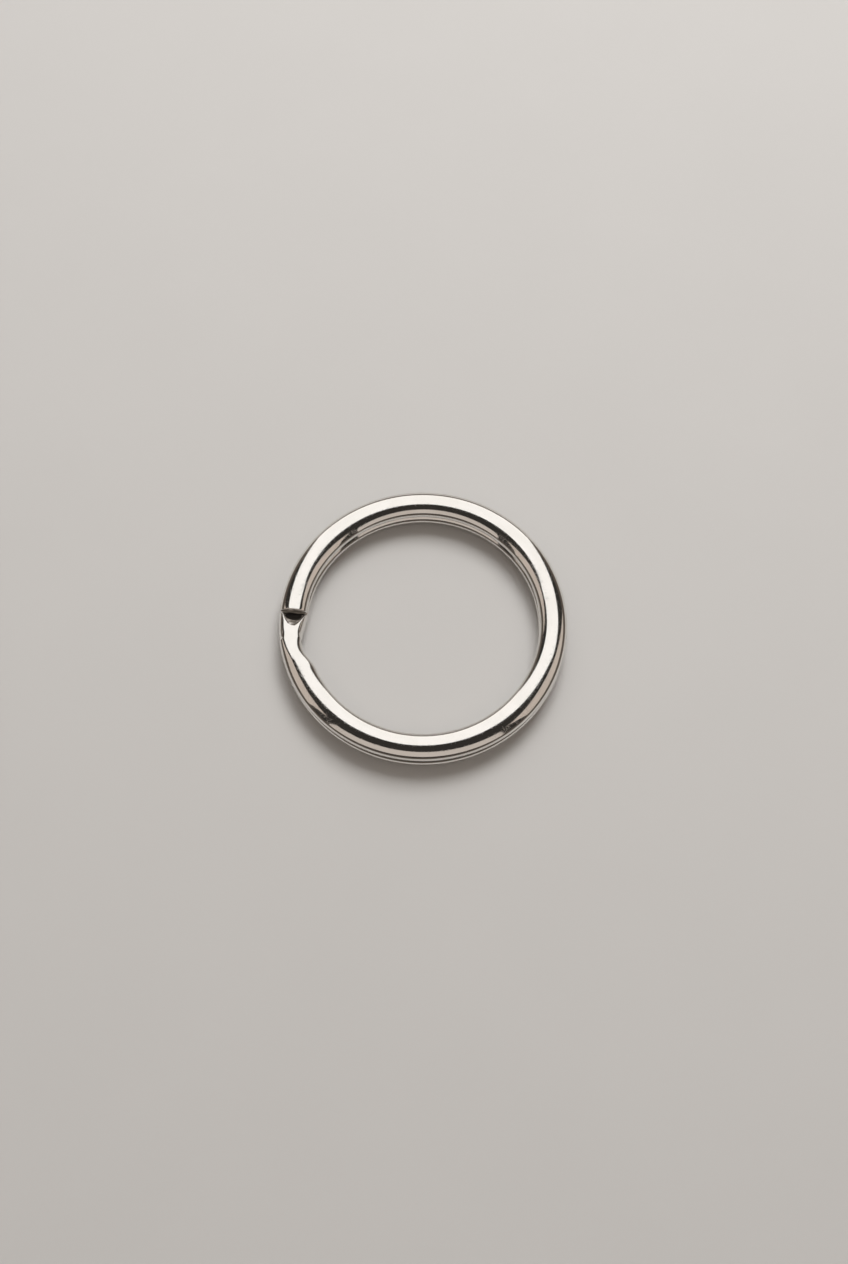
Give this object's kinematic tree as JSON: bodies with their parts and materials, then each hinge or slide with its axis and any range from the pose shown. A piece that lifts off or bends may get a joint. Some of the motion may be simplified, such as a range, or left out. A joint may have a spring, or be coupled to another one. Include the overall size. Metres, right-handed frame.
{
  "type": "split ring",
  "caption": "Bright nickel-plated split ring: one flattened spring wire wound in two stacked turns, with a joggle and square-cut ends; lies flat.",
  "frame": {"origin": "on the ring's axis, in the plane the ring rests on", "axes": "+Z along the ring's axis, up from the surface it lies on; -X to the joggle and the upper turn's cut end; +Y away from the viewer in the picture"},
  "size_m": [0.03, 0.03, 0.0029],
  "materials": {
    "nickel_plate": "bright nickel plate on spring steel, tumbled, with fine handling scratches"
  },
  "bodies": {
    "root": {"split_ring": "nickel_plate"}
  },
  "joints": []
}
